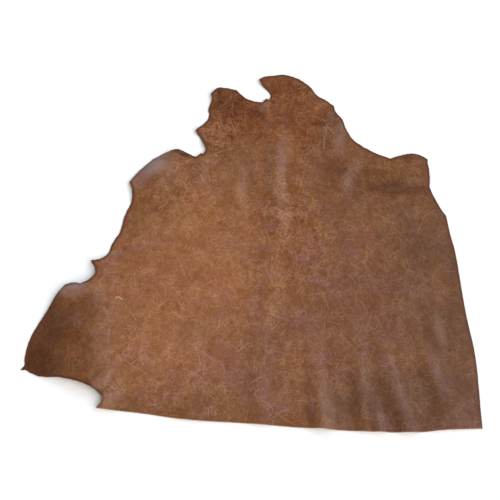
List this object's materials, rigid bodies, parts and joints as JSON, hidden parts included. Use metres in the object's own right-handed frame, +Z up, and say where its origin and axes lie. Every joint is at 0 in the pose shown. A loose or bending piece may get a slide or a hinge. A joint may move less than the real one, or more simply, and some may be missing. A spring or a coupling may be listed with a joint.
{
  "type": "leather hide",
  "caption": "Cut piece of brown distressed cattle hide lying flat, with two trimmed edges, an uneven natural outline, soft folds and a rolled foreleg lobe.",
  "frame": {"origin": "middle of the hide's bounding box in plan, on the surface that it lies on", "axes": "+Z up from the surface, +X along the trimmed near edge toward the trimmed right edge, -Y toward the near edge and the picture's camera"},
  "size_m": [1.3014, 1.2188, 0.0397],
  "materials": {
    "leather": "semi-matt waxed brown with pale pull-up marks"
  },
  "bodies": {
    "root": {"hide": "leather"}
  },
  "joints": []
}
